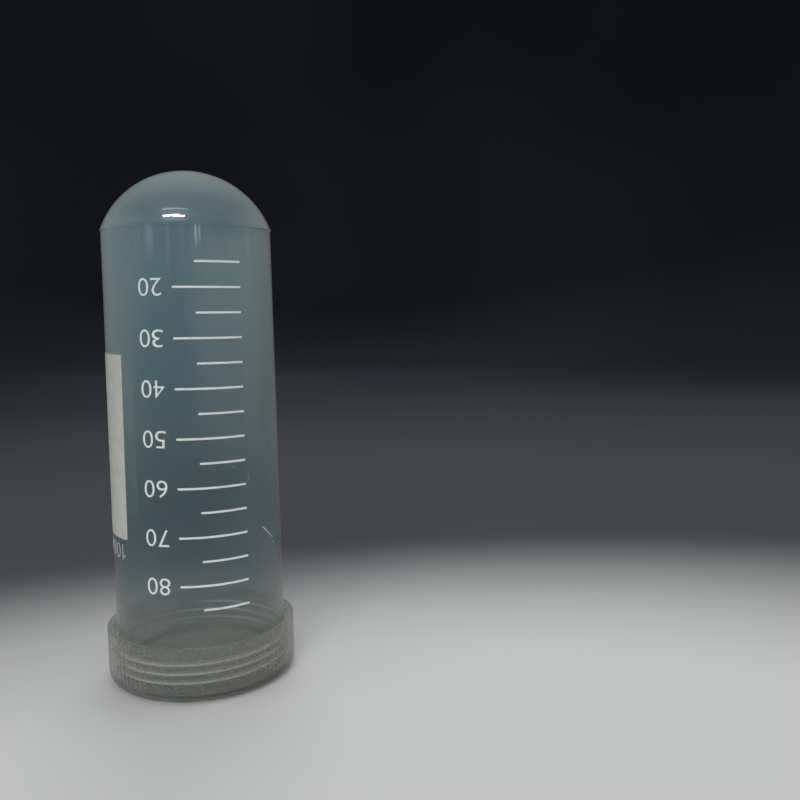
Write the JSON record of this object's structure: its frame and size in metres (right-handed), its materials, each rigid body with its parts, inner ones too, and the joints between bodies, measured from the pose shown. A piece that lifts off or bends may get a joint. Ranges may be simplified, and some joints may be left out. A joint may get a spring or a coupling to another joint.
{
  "type": "graduated screw cap test tube",
  "caption": "Round-bottom translucent plastic test tube with a printed volume scale, standing upside down on its ribbed screw cap, which it unscrews from.",
  "frame": {"origin": "centre of the cap's closed end, on the plane it rests on", "axes": "+Z along the tube's axis towards its round end, -Y is the side that the printed volume scale faces, +X is right as seen from that side"},
  "size_m": [0.0422, 0.0422, 0.1138],
  "materials": {
    "tube_plastic": "translucent natural polypropylene, smooth and slightly waxy",
    "cap_plastic": "frosted natural polypropylene with fine moulded ribs",
    "seal": "soft clear silicone",
    "ink": "white screen-printed ink",
    "patch": "thin off-white writing ink, slightly speckled"
  },
  "bodies": {
    "cap": {"cap": "cap_plastic"},
    "seal": {"seal_ring": "seal"},
    "tube": {"tube": "tube_plastic", "scale_mark_15": "ink", "scale_mark_20": "ink", "scale_mark_25": "ink", "scale_mark_30": "ink", "scale_mark_35": "ink", "scale_mark_40": "ink", "scale_mark_45": "ink", "scale_mark_50": "ink", "scale_mark_55": "ink", "scale_mark_60": "ink", "scale_mark_65": "ink", "scale_mark_70": "ink", "scale_mark_75": "ink", "scale_mark_80": "ink", "scale_mark_85": "ink", "numeral_20_tens": "ink", "numeral_20_units": "ink", "numeral_30_tens": "ink", "numeral_30_units": "ink", "numeral_40_tens": "ink", "numeral_40_units": "ink", "numeral_50_tens": "ink", "numeral_50_units": "ink", "numeral_60_tens": "ink", "numeral_60_units": "ink", "numeral_70_tens": "ink", "numeral_70_units": "ink", "numeral_80_tens": "ink", "numeral_80_units": "ink", "capacity_1_1": "ink", "capacity_2_0": "ink", "capacity_3_0": "ink", "capacity_4_m": "ink", "capacity_5_l": "ink", "writing_patch": "patch"}
  },
  "joints": [
    {"name": "tube_turn", "type": "hinge", "parent": "cap", "child": "seal", "pos_m": [0, 0, 0], "axis": [0, 0, 1], "range_deg": [0, 2160]},
    {"name": "tube_lift", "type": "slide", "parent": "seal", "child": "tube", "axis": [0, 0, 1], "range_m": [0, 0.012]}
  ],
  "couplings": [
    {"joint": "tube_lift", "follows": "tube_turn", "m_per_rad": 0.0003183}
  ]
}
